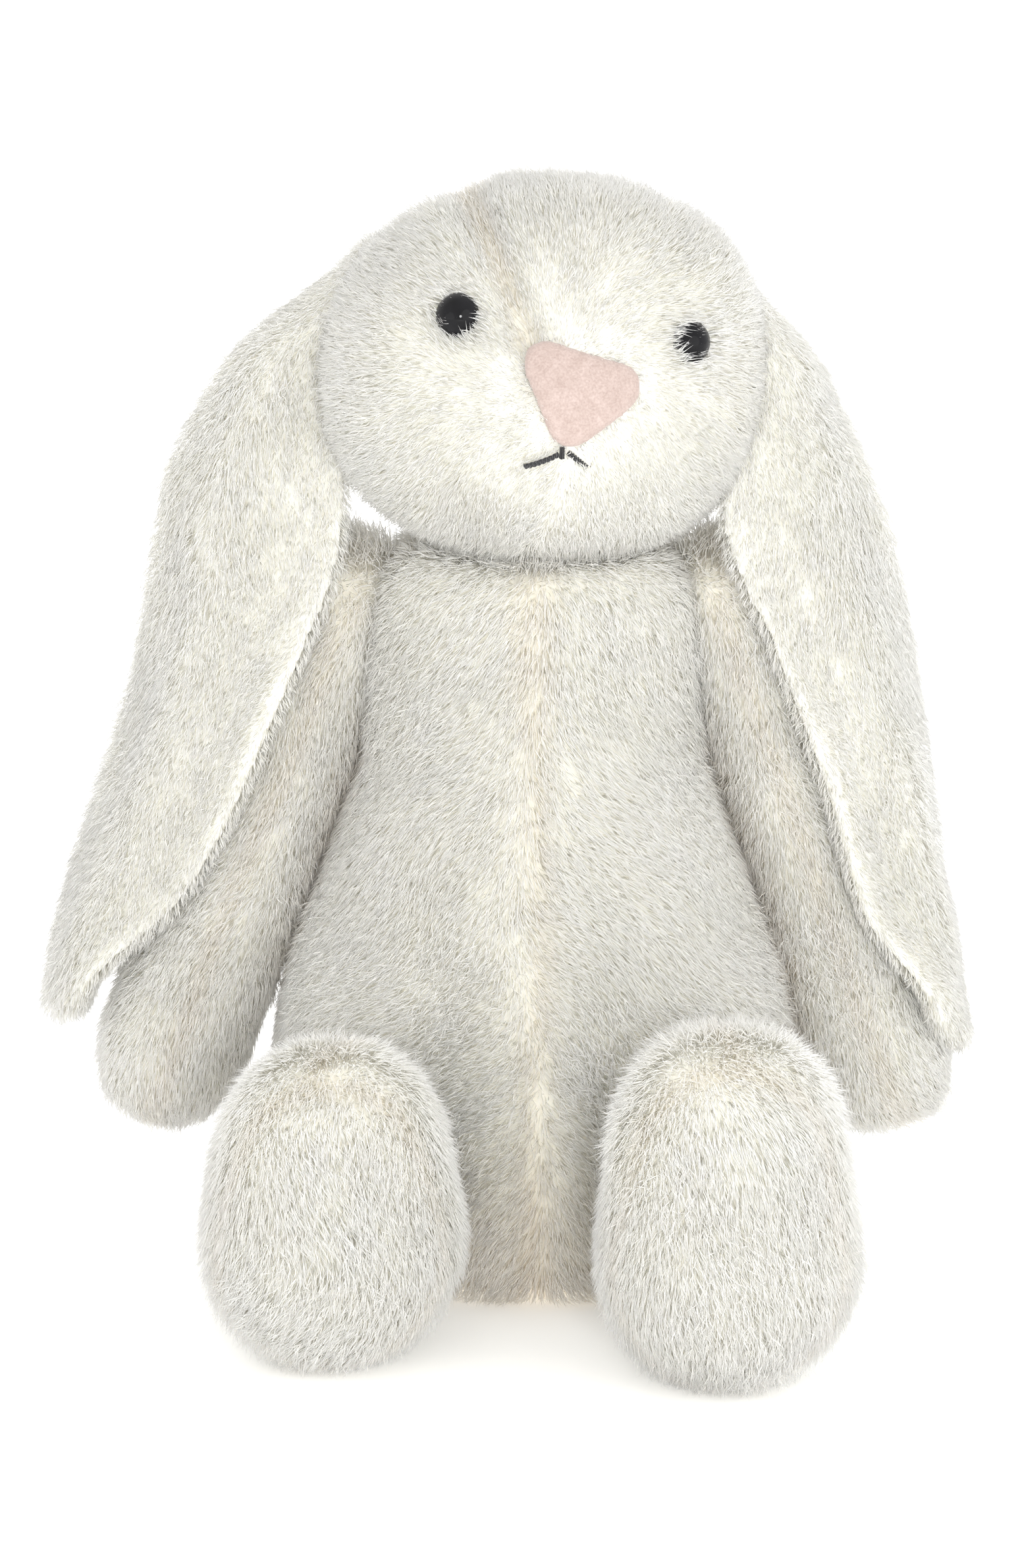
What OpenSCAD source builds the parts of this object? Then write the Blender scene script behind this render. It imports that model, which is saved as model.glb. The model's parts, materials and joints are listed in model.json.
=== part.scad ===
// Seated plush bunny with long drooping ears, soft stuffed limbs and a bean-filled seat.
// Millimetres. +Z is up, the face looks along -Y, and the toy's own left side is at +X.
// The origin is the centre of the flat seat, on the surface that the toy sits on.

/* [Fabric] */
// Thickness of a plush panel with its pile pressed down
fabric_t = 3.5; // [2.5:0.1:4]
// Gap between two panels at a seam
seam_gap = 0.2; // [0.1:0.05:0.4]
// Clearance between a sewn-on limb and the socket it turns in
joint_gap = 0.4; // [0.3:0.05:0.8]

/* [Torso] */
// Widest radius of the torso
torso_r = 48.5; // [46:0.5:49]
// Radius of the flat seat
seat_r = 36; // [30:0.5:38]
// Height of the neck opening
torso_h = 134; // [132:0.5:136]
// Radius of the ball of stuffing in the neck
neck_r = 15; // [13:0.5:16]
// Radius of the bean bag in the seat
bean_bag_r = 27; // [20:0.5:30]
// Height of the bean bag
bean_bag_h = 18; // [12:0.5:22]

/* [Head] */
// Half of the head's width, cheek to cheek
head_half_w = 39.5; // [36:0.5:41]
// Radius of the head from the side
head_r = 34.5; // [32:0.5:36]
// Radius of the muzzle
muzzle_r = 25; // [22:0.5:27]
// Angle by which the head is turned to the toy's own left
head_turn = 9; // [0:1:15]
// Angle by which the head leans to the toy's own left
head_lean = 8; // [0:1:10]
// Radius of an eye
eye_r = 4.1; // [3:0.1:5]
// Width of the nose patch
nose_w = 21.5; // [16:0.5:24]
// Height of the nose patch
nose_h = 16.5; // [12:0.5:18]
// Angle by which the nose patch was sewn on aslant
nose_tilt = 10; // [0:1:20]

/* [Ears] */
// Share by which the ears are longer or shorter than usual
ear_scale = 1; // [0.8:0.05:1]
// Thickness of an ear, both panels together
ear_t = 6; // [5:0.2:6.4]

/* [Arms] */
// Radius at the shoulder
shoulder_r = 12; // [10:0.5:12.5]
// Radius of the paw
paw_r = 13; // [11:0.5:13]
// Length between the centres of the shoulder and the paw
arm_len = 95; // [85:1:98]
// Angle by which the toy's left arm stands away from upright
left_arm_splay = 19; // [18:0.5:20]
// Angle by which the toy's right arm stands away from upright
right_arm_splay = 21.5; // [19:0.5:22]

/* [Legs] */
// Radius at the hip
hip_r = 10; // [9:0.5:10.5]
// Radius of the leg where it meets the foot
knee_r = 12; // [10:0.5:13]
// Radius of the heel end of a foot
heel_r = 22; // [18:0.5:23]
// Radius of the toe end of a foot
toe_r = 19; // [15:0.5:20]
// Distance between the centres of the left foot's heel and toes
left_foot_len = 22; // [16:0.5:24]
// Distance between the centres of the right foot's heel and toes
right_foot_len = 16; // [14:0.5:18]

/* [Tail] */
// Radius of the round tail
tail_r = 15; // [12:0.5:16]

/* [Hidden] */
$fn = 72;
far = 400;
tiny = 0.01;

fur = "ivory";
fur_shade = "linen";
fill_colour = "white";
suede = "lightpink";
thread = "dimgray";

// Sides: the toy's own left is +X.
left = 1;
right = -1;

// Joint centres.
neck_pos = [0, 0, 138];
head_pos = [1, -7, 172];
shoulder_pos = [35, 0, 127];
hip_pos = [27, -48, 19.5];
tail_pos = [0, 47, 27];

// The stuffing and the cover are this far apart.
fill_gap = 0.15;

// Outline of the torso from the edge of the seat to the neck opening: radius, height.
torso_keys = [
    [seat_r, 0],
    [0.93 * torso_r, 0.06 * torso_h],
    [torso_r, 0.19 * torso_h],
    [0.975 * torso_r, 0.36 * torso_h],
    [0.82 * torso_r, 0.56 * torso_h],
    [0.6 * torso_r, 0.78 * torso_h],
    [0.47 * torso_r, 0.94 * torso_h],
    [0.35 * torso_r, torso_h]
];

function unit(v) = v / norm(v);
function last(list) = list[len(list) - 1];
function reversed(list) = [for (i = [len(list) - 1:-1:0]) list[i]];

// Catmull-Rom curve through the points p.
function curve_at(p, i, t) =
    let (a = p[max(i - 1, 0)], b = p[i], c = p[i + 1], d = p[min(i + 2, len(p) - 1)])
    0.5 * (2 * b + (c - a) * t + (2 * a - 5 * b + 4 * c - d) * t * t + (3 * b - a - 3 * c + d) * t * t * t);
function curve(p, steps) = concat(
    [for (i = [0:len(p) - 2]) for (s = [0:steps - 1]) curve_at(p, i, s / steps)],
    [last(p)]
);

// The line moved sideways, to its left for a positive distance.
function shifted(line, d) = [
    for (i = [0:len(line) - 1])
        let (along = unit(line[min(i + 1, len(line) - 1)] - line[max(i - 1, 0)]))
        line[i] + d * [-along.y, along.x]
];

// Points on an arc, centre c.
function arc(c, r, from, to, steps = 6) = [
    for (s = [0:steps]) let (a = from + (to - from) * s / steps) c + r * [cos(a), sin(a)]
];

// Half outline of a limb that is round at both ends, from a ball of radius r1 at the origin
// to one of radius r2 at height h.
function limb_outline(r1, r2, h) =
    let (lean = asin((r1 - r2) / h))
    concat(arc([0, 0], r1, -90, lean, 10), arc([0, h], r2, lean, 90, 10));

module limb(r1, r2, h, inset = 0) {
    rotate_extrude() polygon(limb_outline(r1 - inset, r2 - inset, h));
}

// Everything on one side of a plane through the origin: +X, -X, +Y and so on.
module half_space(direction) {
    translate(direction * far / 2) cube(far, center = true);
}

// ---- Torso ----

module torso_section(inset = 0) {
    intersection() {
        polygon(concat([[0, 0]], shifted(curve(torso_keys, 4), inset), [[0, torso_h]]));
        translate([0, inset]) square([far, torso_h - inset]);
    }
}

module torso_wall_section() {
    difference() {
        torso_section();
        torso_section(fabric_t);
        square([seat_r, fabric_t]);
    }
}

// The space that an arm sweeps beside the torso.
module arm_sweep(side) {
    arm_frame(side) translate([-max(shoulder_r, paw_r) - joint_gap, 0, 0]) half_space([1, 0, 0]);
}

module limb_sockets() {
    translate(neck_pos) sphere(neck_r + joint_gap);
    for (side = [left, right]) {
        arm_sweep(side);
        leg_frame(side) sphere(hip_r + joint_gap);
    }
    tail_root(joint_gap);
}

module torso_panel(quarter) {
    seam_angle = seam_gap / torso_r * 90 / PI;
    difference() {
        rotate_extrude(angle = 90 - 2 * seam_angle, start = 90 * quarter + seam_angle) torso_wall_section();
        limb_sockets();
    }
}

module torso_back_left_panel() {
    color(fur) torso_panel(0);
}

module torso_back_right_panel() {
    color(fur) torso_panel(1);
}

module torso_front_right_panel() {
    color(fur) torso_panel(2);
}

module torso_front_left_panel() {
    color(fur) torso_panel(3);
}

module seat_panel() {
    color(fur_shade) cylinder(r = seat_r - seam_gap, h = fabric_t);
}

// The bean bag is a flat sack on the seat panel.
module bean_sack(inset = 0) {
    edge_r = bean_bag_h / 2;
    translate([0, 0, fabric_t + fill_gap + edge_r])
        rotate_extrude() {
            difference() {
                translate([bean_bag_r - edge_r, 0]) circle(edge_r - inset);
                translate([-far, -far / 2]) square([far, far]);
            }
            translate([0, inset - edge_r]) square([bean_bag_r - edge_r, bean_bag_h - 2 * inset]);
        }
}

bean_cloth_t = 1;

module bean_bag() {
    color("beige") difference() {
        bean_sack();
        bean_sack(bean_cloth_t);
    }
}

module seat_beans() {
    color("lightgray") bean_sack(bean_cloth_t + fill_gap);
}

module torso_stuffing() {
    color(fill_colour) difference() {
        rotate_extrude() torso_section(fabric_t + fill_gap);
        limb_sockets();
        bean_sack(-fill_gap);
    }
}

// Ladder stitches that close the back seam. They lie on the cover, across the seam.
stitch_r = 0.5;
stitch_count = 7;
stitch_pitch = 5;
stitch_w = 4;
stitches_z = 62;

function torso_r_at(z) = lookup(z, [for (k = curve(torso_keys, 4)) [k.y, k.x]]);

module back_closing_stitches() {
    color(thread) for (i = [0:stitch_count - 1]) {
        z = stitches_z + i * stitch_pitch;
        translate([0, torso_r_at(z) + 1.3 * stitch_r, z])
            rotate([0, 90, 0]) cylinder(r = stitch_r, h = stitch_w, center = true, $fn = 24);
    }
}

// Blank label sewn into the back seam, above the tail.
label_w = 12;
label_len = 17;
label_t = 0.8;
label_z = 46;

module care_label() {
    color("white") translate([-label_t / 2, torso_r_at(label_z) + seam_gap, label_z])
        cube([label_t, label_len, label_w]);
}

// ---- Neck ----

thread_r = 0.7;

module neck_stuffing() {
    color(fill_colour) translate(neck_pos) sphere(neck_r);
}

module neck_seam_thread() {
    drop = 2.6;
    ring_r = sqrt(pow(neck_r + thread_r, 2) - drop * drop) + tiny;
    color(thread) translate(neck_pos - [0, 0, drop])
        rotate_extrude() translate([ring_r, 0]) circle(thread_r, $fn = 16);
}

// ---- Head ----

head_power = 2.3;
muzzle_pos = [0, -17, -4];
head_seam_y = 9;

module head_frame() {
    translate(head_pos) rotate([0, head_lean, head_turn]) children();
}

module head_solid(inset = 0) {
    rotate([0, 90, 0]) rotate_extrude() polygon([
        for (a = [-90:6:90])
            [(head_r - inset) * pow(cos(a), 2 / head_power),
             (head_half_w - inset) * sign(a) * pow(abs(sin(a)), 2 / head_power)]
    ]);
    translate(muzzle_pos) sphere(muzzle_r - inset);
}

module head_wall() {
    difference() {
        head_frame() difference() {
            head_solid();
            head_solid(fabric_t);
        }
        translate(neck_pos) sphere(neck_r + joint_gap);
    }
}

// The crown gusset runs from the nose over the top of the head and widens on its way.
gusset_foot_w = 12;
gusset_top_w = 42;
gusset_foot_z = 2;

module gusset_prism(grow = 0) {
    foot_x = gusset_foot_w / 2 + grow;
    top_x = gusset_top_w / 2 + grow;
    foot_z = gusset_foot_z - grow;
    top_z = head_r + fabric_t;
    translate([0, head_seam_y, 0]) rotate([90, 0, 0]) linear_extrude(far)
        polygon([[-foot_x, foot_z], [foot_x, foot_z], [top_x, top_z], [-top_x, top_z]]);
}

// Rounded triangle, point down, seen from the front of the face.
nose_corner_r = 4;
nose_top_z = 9;
nose_depth = 1;

module nose_prism(grow = 0) {
    r = nose_corner_r;
    top_x = nose_w / 2 - r;
    drop = nose_h - 2 * r;
    side_angle = -atan(top_x / drop);
    rotate([90, 0, 0]) linear_extrude(far)
        translate([0, nose_top_z - nose_h / 2]) rotate(-nose_tilt) translate([0, nose_h / 2 - r])
            polygon(concat(
                arc([top_x, 0], r + grow, 90, side_angle),
                arc([0, -drop], r + grow, side_angle, -180 - side_angle),
                arc([-top_x, 0], r + grow, 180 - side_angle, 90)
            ));
}

// Eye: a dome set into the cheek, on a shank that a washer holds from inside.
eye_pos = [22, -28, 12];
eye_out = 40;
eye_up = 12;
eye_seat = 1.2;
eye_bulge = 3;
shank_r = 1.5;
shank_len = 9;
washer_r = 4.5;
washer_t = 1.2;
washer_depth = 5.6;

module eye_frame(side) {
    head_frame() translate([side * eye_pos.x, eye_pos.y, eye_pos.z])
        rotate([0, 0, side * eye_out]) rotate([90 - eye_up, 0, 0]) children();
}

module eye_solid(grow = 0) {
    ball_r = (eye_r * eye_r + eye_bulge * eye_bulge) / (2 * eye_bulge);
    translate([0, 0, -eye_seat - grow]) cylinder(r = eye_r + grow, h = eye_seat + grow);
    intersection() {
        translate([0, 0, eye_bulge - ball_r]) sphere(ball_r + grow);
        cylinder(r = eye_r + grow, h = far);
    }
    translate([0, 0, -shank_len - eye_seat]) cylinder(r = shank_r + grow, h = shank_len + eye_seat);
}

module washer_solid(grow = 0) {
    translate([0, 0, -washer_depth - washer_t / 2 - grow])
        cylinder(r = washer_r + grow, h = washer_t + 2 * grow);
}

module face_cutters() {
    for (side = [left, right]) eye_frame(side) {
        eye_solid(seam_gap / 2);
        washer_solid(seam_gap / 2);
    }
    head_frame() difference() {
        nose_prism(seam_gap);
        head_solid(nose_depth + seam_gap);
    }
}

module cheek_panel(side) {
    difference() {
        intersection() {
            head_wall();
            head_frame() translate([side * seam_gap / 2, 0, 0]) half_space([side, 0, 0]);
            head_frame() translate([0, head_seam_y - seam_gap / 2, 0]) half_space([0, -1, 0]);
        }
        head_frame() gusset_prism(seam_gap / 2);
        face_cutters();
    }
}

module left_cheek_panel() {
    color(fur) cheek_panel(left);
}

module right_cheek_panel() {
    color(fur) cheek_panel(right);
}

module crown_gusset() {
    color(fur) difference() {
        intersection() {
            head_wall();
            head_frame() gusset_prism(-seam_gap / 2);
            head_frame() translate([0, head_seam_y - seam_gap / 2, 0]) half_space([0, -1, 0]);
        }
        face_cutters();
    }
}

module head_back_panel() {
    color(fur) intersection() {
        head_wall();
        head_frame() translate([0, head_seam_y + seam_gap / 2, 0]) half_space([0, 1, 0]);
    }
}

module nose_patch() {
    color(suede) head_frame() intersection() {
        difference() {
            head_solid(-0.6);
            head_solid(nose_depth);
        }
        nose_prism();
    }
}

module eye(side) {
    eye_frame(side) eye_solid();
}

module eye_washer(side) {
    eye_frame(side) difference() {
        washer_solid();
        cylinder(r = shank_r + 0.05, h = far, center = true);
    }
}

module left_eye() {
    color("black") eye(left);
}

module right_eye() {
    color("black") eye(right);
}

module left_eye_washer() {
    color("white") eye_washer(left);
}

module right_eye_washer() {
    color("white") eye_washer(right);
}

// Mouth: a short upright stitch under the nose and one slanting stitch on each side.
// Each lies on the muzzle, placed by its angles round the muzzle's centre and its slant.
module mouth_stitch(across, down, slant, length) {
    translate(muzzle_pos) rotate([down, 0, across]) translate([0, -muzzle_r - 1.3 * stitch_r, 0])
        rotate([0, slant, 0]) cylinder(r = stitch_r, h = length, center = true, $fn = 24);
}

module mouth_stitches() {
    color("black") head_frame() {
        mouth_stitch(-4, 11, 0, 2);
        mouth_stitch(-12, 15.5, 58, 6.6);
        mouth_stitch(4.5, 15.5, -58, 4.6);
    }
}

module head_stuffing() {
    color(fill_colour) difference() {
        head_frame() head_solid(fabric_t + fill_gap);
        translate(neck_pos) sphere(neck_r + joint_gap);
        for (side = [left, right]) eye_frame(side) {
            eye_solid(fill_gap);
            washer_solid(fill_gap);
        }
    }
}

// ---- Ears ----

// Each ear is a row of level slices, root first: height, distance out, distance back, the angle
// by which its front edge is drawn in, and half its width.
left_ear_slices = [
    [191, 40.5, -2, 8, 8],
    [183, 44, -2, 10, 10],
    [173, 47, -3, 12, 12.5],
    [163, 49.5, -4, 20, 15],
    [151, 52, -4, 32, 17],
    [139, 55, -4, 36, 18.5],
    [124, 60.5, -3, 24, 20],
    [110, 64.5, -3, 17, 21],
    [92, 69, -2, 10, 21.5],
    [75, 72, -2, 5, 21.5],
    [60, 76.3, -1, 4, 19],
    [50, 80, -1, 4, 14],
    [44, 82.5, -1, 4, 8],
    [41, 83.5, -1, 4, 3]
];
right_ear_slices = [
    [194, 36.5, -2, 10, 8],
    [186, 41, -2, 15, 10],
    [176, 46, -3, 27, 13],
    [165, 50.5, -4, 39, 15.5],
    [152, 55, -5, 46, 17.5],
    [138, 57.5, -5, 43, 19],
    [122, 62.2, -4, 31, 20.5],
    [104, 67.8, -3, 22, 21.5],
    [86, 74.7, -2, 19, 21.5],
    [72, 81, -1, 17, 19],
    [61, 85.5, -1, 14, 14],
    [53, 88, -1, 12, 9],
    [48, 89, -1, 12, 4]
];
function ear_slices(side) = let (all = side == left ? left_ear_slices : right_ear_slices, root = all[0])
    [for (k = all) [root[0] + ear_scale * (k[0] - root[0]), k[1], k[2], k[3], k[4]]];

slice_steps = 2;
width_steps = 8;
edge_t = 0.6;

// One slice of a panel: points across its inner face and back across its outer face.
function panel_slice(k, from_side, to_side) =
    let (
        middle = [k[1], k[2]],
        front = [-sin(k[3]), -cos(k[3])],
        out = [cos(k[3]), -sin(k[3])],
        across = [for (i = [0:width_steps]) -cos(180 * i / width_steps)],
        bulge = [for (s = across) edge_t + (ear_t / 2 - edge_t) * sqrt(1 - s * s)],
        near = [for (s = across) middle + k[4] * s * front + from_side * seam_gap / 2 * out],
        away = [for (i = [0:width_steps]) near[i] + to_side * bulge[i] * out],
        loop = concat(near, [for (i = [width_steps:-1:0]) away[i]])
    )
    [for (p = loop) [p.x, p.y, k[0]]];

// A skin through slices that all have the same number of points.
module loft(slices) {
    count = len(slices[0]);
    points = [for (slice = slices) each slice];
    sides = [
        for (i = [0:len(slices) - 2]) for (j = [0:count - 1])
            let (a = i * count + j, b = i * count + (j + 1) % count)
            each [[a, b, b + count], [a, b + count, a + count]]
    ];
    top = [for (j = [count - 1:-1:0]) j];
    bottom = [for (j = [0:count - 1]) (len(slices) - 1) * count + j];
    polyhedron(points, concat(sides, [top, bottom]));
}

// The panel on the outside of an ear for out = 1, and on its inside for out = -1.
module ear_panel(side, out) {
    slices = [for (k = curve(ear_slices(side), slice_steps)) panel_slice(k, out, out)];
    mirror([side < 0 ? 1 : 0, 0, 0]) loft(out > 0 ? slices : [for (slice = slices) reversed(slice)]);
}

module ear_outer_panel(side) {
    ear_panel(side, 1);
}

module ear_inner_panel(side) {
    ear_panel(side, -1);
}

module left_ear_outer_panel() {
    color(fur) ear_outer_panel(left);
}

module left_ear_inner_panel() {
    color(fur_shade) ear_inner_panel(left);
}

module right_ear_outer_panel() {
    color(fur) ear_outer_panel(right);
}

module right_ear_inner_panel() {
    color(fur_shade) ear_inner_panel(right);
}

// ---- Arms ----

// Origin at the shoulder, +X away from the body and -Z down the arm.
module arm_frame(side) {
    splay = side == left ? left_arm_splay : right_arm_splay;
    mirror([side < 0 ? 1 : 0, 0, 0]) translate(shoulder_pos) rotate([0, -splay, 0]) children();
}

module arm_solid(inset = 0) {
    rotate([180, 0, 0]) limb(shoulder_r, paw_r, arm_len, inset);
}

module arm_panel(side, out) {
    arm_frame(side) intersection() {
        difference() {
            arm_solid();
            arm_solid(fabric_t);
        }
        translate([out * seam_gap / 2, 0, 0]) half_space([out, 0, 0]);
    }
}

module arm_stuffing(side) {
    arm_frame(side) arm_solid(fabric_t + fill_gap);
}

module left_arm_outer_panel() {
    color(fur) arm_panel(left, 1);
}

module left_arm_inner_panel() {
    color(fur_shade) arm_panel(left, -1);
}

module left_arm_stuffing() {
    color(fill_colour) arm_stuffing(left);
}

module right_arm_outer_panel() {
    color(fur) arm_panel(right, 1);
}

module right_arm_inner_panel() {
    color(fur_shade) arm_panel(right, -1);
}

module right_arm_stuffing() {
    color(fill_colour) arm_stuffing(right);
}

// ---- Legs ----

// The heel's centre, from the hip. The toy's left leg points further forward.
foot_lift = 0.6;
heel_drop = heel_r + foot_lift - hip_pos.z;
function heel_from_hip(side) = side == left ? [7.5, -33, heel_drop] : [10, -21, heel_drop];
function foot_len(side) = side == left ? left_foot_len : right_foot_len;
sole_depth = 9;

// Origin at the hip.
module leg_frame(side) {
    translate([side * hip_pos.x, hip_pos.y, hip_pos.z]) mirror([side < 0 ? 1 : 0, 0, 0]) children();
}

// A limb from the origin towards a point.
module limb_to(point, r1, r2, inset) {
    rotate([acos(point.z / norm(point)), 0, atan2(point.x, -point.y)]) limb(r1, r2, norm(point), inset);
}

module leg_solid(side, inset = 0) {
    heel = heel_from_hip(side);
    limb_to(heel + [0, 0, foot_len(side) / 2], hip_r, knee_r, inset);
    translate(heel) limb(heel_r, toe_r, foot_len(side), inset);
}

module leg_wall(side) {
    difference() {
        leg_solid(side);
        leg_solid(side, fabric_t);
    }
}

module leg_panel(side, out) {
    heel = heel_from_hip(side);
    leg_frame(side) intersection() {
        leg_wall(side);
        rotate([0, 0, atan2(heel.x, -heel.y)]) translate([out * seam_gap / 2, 0, 0]) half_space([out, 0, 0]);
        translate([0, heel.y - sole_depth + seam_gap / 2, 0]) half_space([0, 1, 0]);
    }
}

module sole_panel(side) {
    heel = heel_from_hip(side);
    leg_frame(side) intersection() {
        leg_wall(side);
        translate([0, heel.y - sole_depth - seam_gap / 2, 0]) half_space([0, -1, 0]);
    }
}

module leg_stuffing(side) {
    leg_frame(side) leg_solid(side, fabric_t + fill_gap);
}

module left_leg_outer_panel() {
    color(fur) leg_panel(left, 1);
}

module left_leg_inner_panel() {
    color(fur_shade) leg_panel(left, -1);
}

module left_sole_panel() {
    color(fur) sole_panel(left);
}

module left_leg_stuffing() {
    color(fill_colour) leg_stuffing(left);
}

module right_leg_outer_panel() {
    color(fur) leg_panel(right, 1);
}

module right_leg_inner_panel() {
    color(fur_shade) leg_panel(right, -1);
}

module right_sole_panel() {
    color(fur) sole_panel(right);
}

module right_leg_stuffing() {
    color(fill_colour) leg_stuffing(right);
}

// ---- Tail ----

tail_root_r = 7;
tail_out = 12;
tail_face = 4;

module tail_root(grow = 0) {
    translate(tail_pos) sphere(tail_root_r + grow);
}

module tail_solid(inset = 0) {
    intersection() {
        translate(tail_pos + [0, tail_out, 0]) sphere(tail_r - inset);
        translate(tail_pos + [0, tail_face + inset, 0]) half_space([0, 1, 0]);
    }
    translate(tail_pos) rotate([-90, 0, 0]) cylinder(r = tail_root_r - inset, h = tail_out);
    tail_root(-inset);
}

module tail_cover() {
    color(fur) difference() {
        tail_solid();
        tail_solid(fabric_t);
    }
}

module tail_stuffing() {
    color(fill_colour) tail_solid(fabric_t + fill_gap);
}

left_cheek_panel();
right_cheek_panel();
crown_gusset();
head_back_panel();
nose_patch();
left_eye();
right_eye();
left_eye_washer();
right_eye_washer();
mouth_stitches();
head_stuffing();
neck_stuffing();
neck_seam_thread();
left_ear_outer_panel();
left_ear_inner_panel();
right_ear_outer_panel();
right_ear_inner_panel();
torso_front_left_panel();
torso_front_right_panel();
torso_back_left_panel();
torso_back_right_panel();
seat_panel();
torso_stuffing();
bean_bag();
seat_beans();
back_closing_stitches();
care_label();
left_arm_outer_panel();
left_arm_inner_panel();
left_arm_stuffing();
right_arm_outer_panel();
right_arm_inner_panel();
right_arm_stuffing();
left_leg_outer_panel();
left_leg_inner_panel();
left_sole_panel();
left_leg_stuffing();
right_leg_outer_panel();
right_leg_inner_panel();
right_sole_panel();
right_leg_stuffing();
tail_cover();
tail_stuffing();
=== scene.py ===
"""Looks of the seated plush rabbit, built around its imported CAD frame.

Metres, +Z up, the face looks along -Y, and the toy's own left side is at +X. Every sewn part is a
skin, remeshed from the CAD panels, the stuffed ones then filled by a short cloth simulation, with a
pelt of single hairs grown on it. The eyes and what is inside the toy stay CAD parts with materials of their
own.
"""
import json
import math

import bpy
import numpy as np
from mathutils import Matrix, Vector
from mathutils.bvhtree import BVHTree


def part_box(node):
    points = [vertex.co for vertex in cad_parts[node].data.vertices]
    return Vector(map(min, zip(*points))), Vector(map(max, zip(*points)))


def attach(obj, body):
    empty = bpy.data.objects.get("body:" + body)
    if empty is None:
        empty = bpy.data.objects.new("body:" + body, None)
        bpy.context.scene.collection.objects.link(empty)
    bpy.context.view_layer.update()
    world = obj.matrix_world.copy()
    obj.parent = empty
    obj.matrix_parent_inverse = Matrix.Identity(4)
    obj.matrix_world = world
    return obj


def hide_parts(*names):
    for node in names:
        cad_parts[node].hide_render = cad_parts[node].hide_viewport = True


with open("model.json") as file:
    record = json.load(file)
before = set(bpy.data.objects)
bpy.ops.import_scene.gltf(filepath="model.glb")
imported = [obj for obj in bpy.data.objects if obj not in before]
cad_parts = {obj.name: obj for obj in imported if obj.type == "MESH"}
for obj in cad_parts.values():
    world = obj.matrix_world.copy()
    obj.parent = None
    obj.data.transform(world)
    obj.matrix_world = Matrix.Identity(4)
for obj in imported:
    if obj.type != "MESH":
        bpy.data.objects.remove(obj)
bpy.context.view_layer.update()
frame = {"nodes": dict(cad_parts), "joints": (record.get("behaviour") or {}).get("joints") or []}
nodes = frame["nodes"]
scene = bpy.context.scene
MM = 0.001

SIM_FRAMES = 20
SIM_CAP = 2.5 * MM
FLOOR_GAP = 0.2 * MM
HAIRS_PER_PIECE = 33000


# ---- Small tools ----

def unit(v):
    return v / np.maximum(np.linalg.norm(v, axis=-1, keepdims=True), 1e-9)


def smooth_step(t):
    """From 0 at 0 to 1 at 1, level at both ends."""
    t = np.clip(t, 0, 1)
    return t * t * (3 - 2 * t)


def bell(distance, width):
    """1 at no distance, and next to nothing beyond twice the width."""
    return np.exp(-((distance / width) ** 2))


def fade(distance, reach):
    """1 at no distance, and about a third as much with each further reach."""
    return np.exp(-distance / reach)


def points_of(mesh):
    points = np.empty(len(mesh.vertices) * 3)
    mesh.vertices.foreach_get("co", points)
    return points.reshape(-1, 3)


def normals_of(mesh):
    normals = np.empty(len(mesh.vertices) * 3)
    mesh.vertices.foreach_get("normal", normals)
    return normals.reshape(-1, 3)


def triangles_of(mesh):
    mesh.calc_loop_triangles()
    corners = np.empty(len(mesh.loop_triangles) * 3, int)
    mesh.loop_triangles.foreach_get("vertices", corners)
    return corners.reshape(-1, 3)


def set_points(mesh, points):
    mesh.vertices.foreach_set("co", np.ravel(points).astype(np.float32))
    mesh.update()


def node_points(*names):
    return np.vstack([points_of(nodes[n].data) for n in names])


def middle_of(*names):
    points = node_points(*names)
    return (points.min(0) + points.max(0)) / 2


def joint_place(name):
    return np.array(next(j["pos_m"] for j in frame["joints"] if j["name"] == name))


def new_piece(name, vertices, faces):
    mesh = bpy.data.meshes.new(name)
    mesh.from_pydata(vertices, [], faces)
    piece = bpy.data.objects.new(name, mesh)
    scene.collection.objects.link(piece)
    return piece


def apply_modifiers(piece):
    graph = bpy.context.evaluated_depsgraph_get()
    mesh = bpy.data.meshes.new_from_object(piece.evaluated_get(graph))
    piece.modifiers.clear()
    piece.data = mesh
    return mesh


def distances(points, names):
    """Distance from each point to the nearest surface of the named CAD nodes."""
    tree = bvh_of(names)
    return np.array([tree.find_nearest(p)[3] for p in points])


def nearest_way(points, tree):
    """Distance from each point to the nearest place on a surface, and the way from there to the point."""
    found = [tree.find_nearest(p) for p in points]
    reach = np.array([hit[3] for hit in found])
    nearest = np.array([tuple(hit[0]) for hit in found])
    return reach, unit(points - nearest)


def joined(names):
    """The vertices and faces of several CAD nodes, as one list of each."""
    vertices, faces = [], []
    for n in names:
        first = len(vertices)
        vertices += [v.co for v in nodes[n].data.vertices]
        faces += [[first + i for i in f.vertices] for f in nodes[n].data.polygons]
    return vertices, faces


def bvh_of(names):
    return BVHTree.FromPolygons(*joined(names))


def spread_labels(label, pairs):
    """Gives every point the lowest label among the points that the pairs join it to."""
    while True:
        before = label.copy()
        low = np.minimum(label[pairs[:, 0]], label[pairs[:, 1]])
        np.minimum.at(label, pairs[:, 0], low)
        np.minimum.at(label, pairs[:, 1], low)
        label = label[label]
        if (label == before).all():
            return label


# ---- Materials ----

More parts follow.
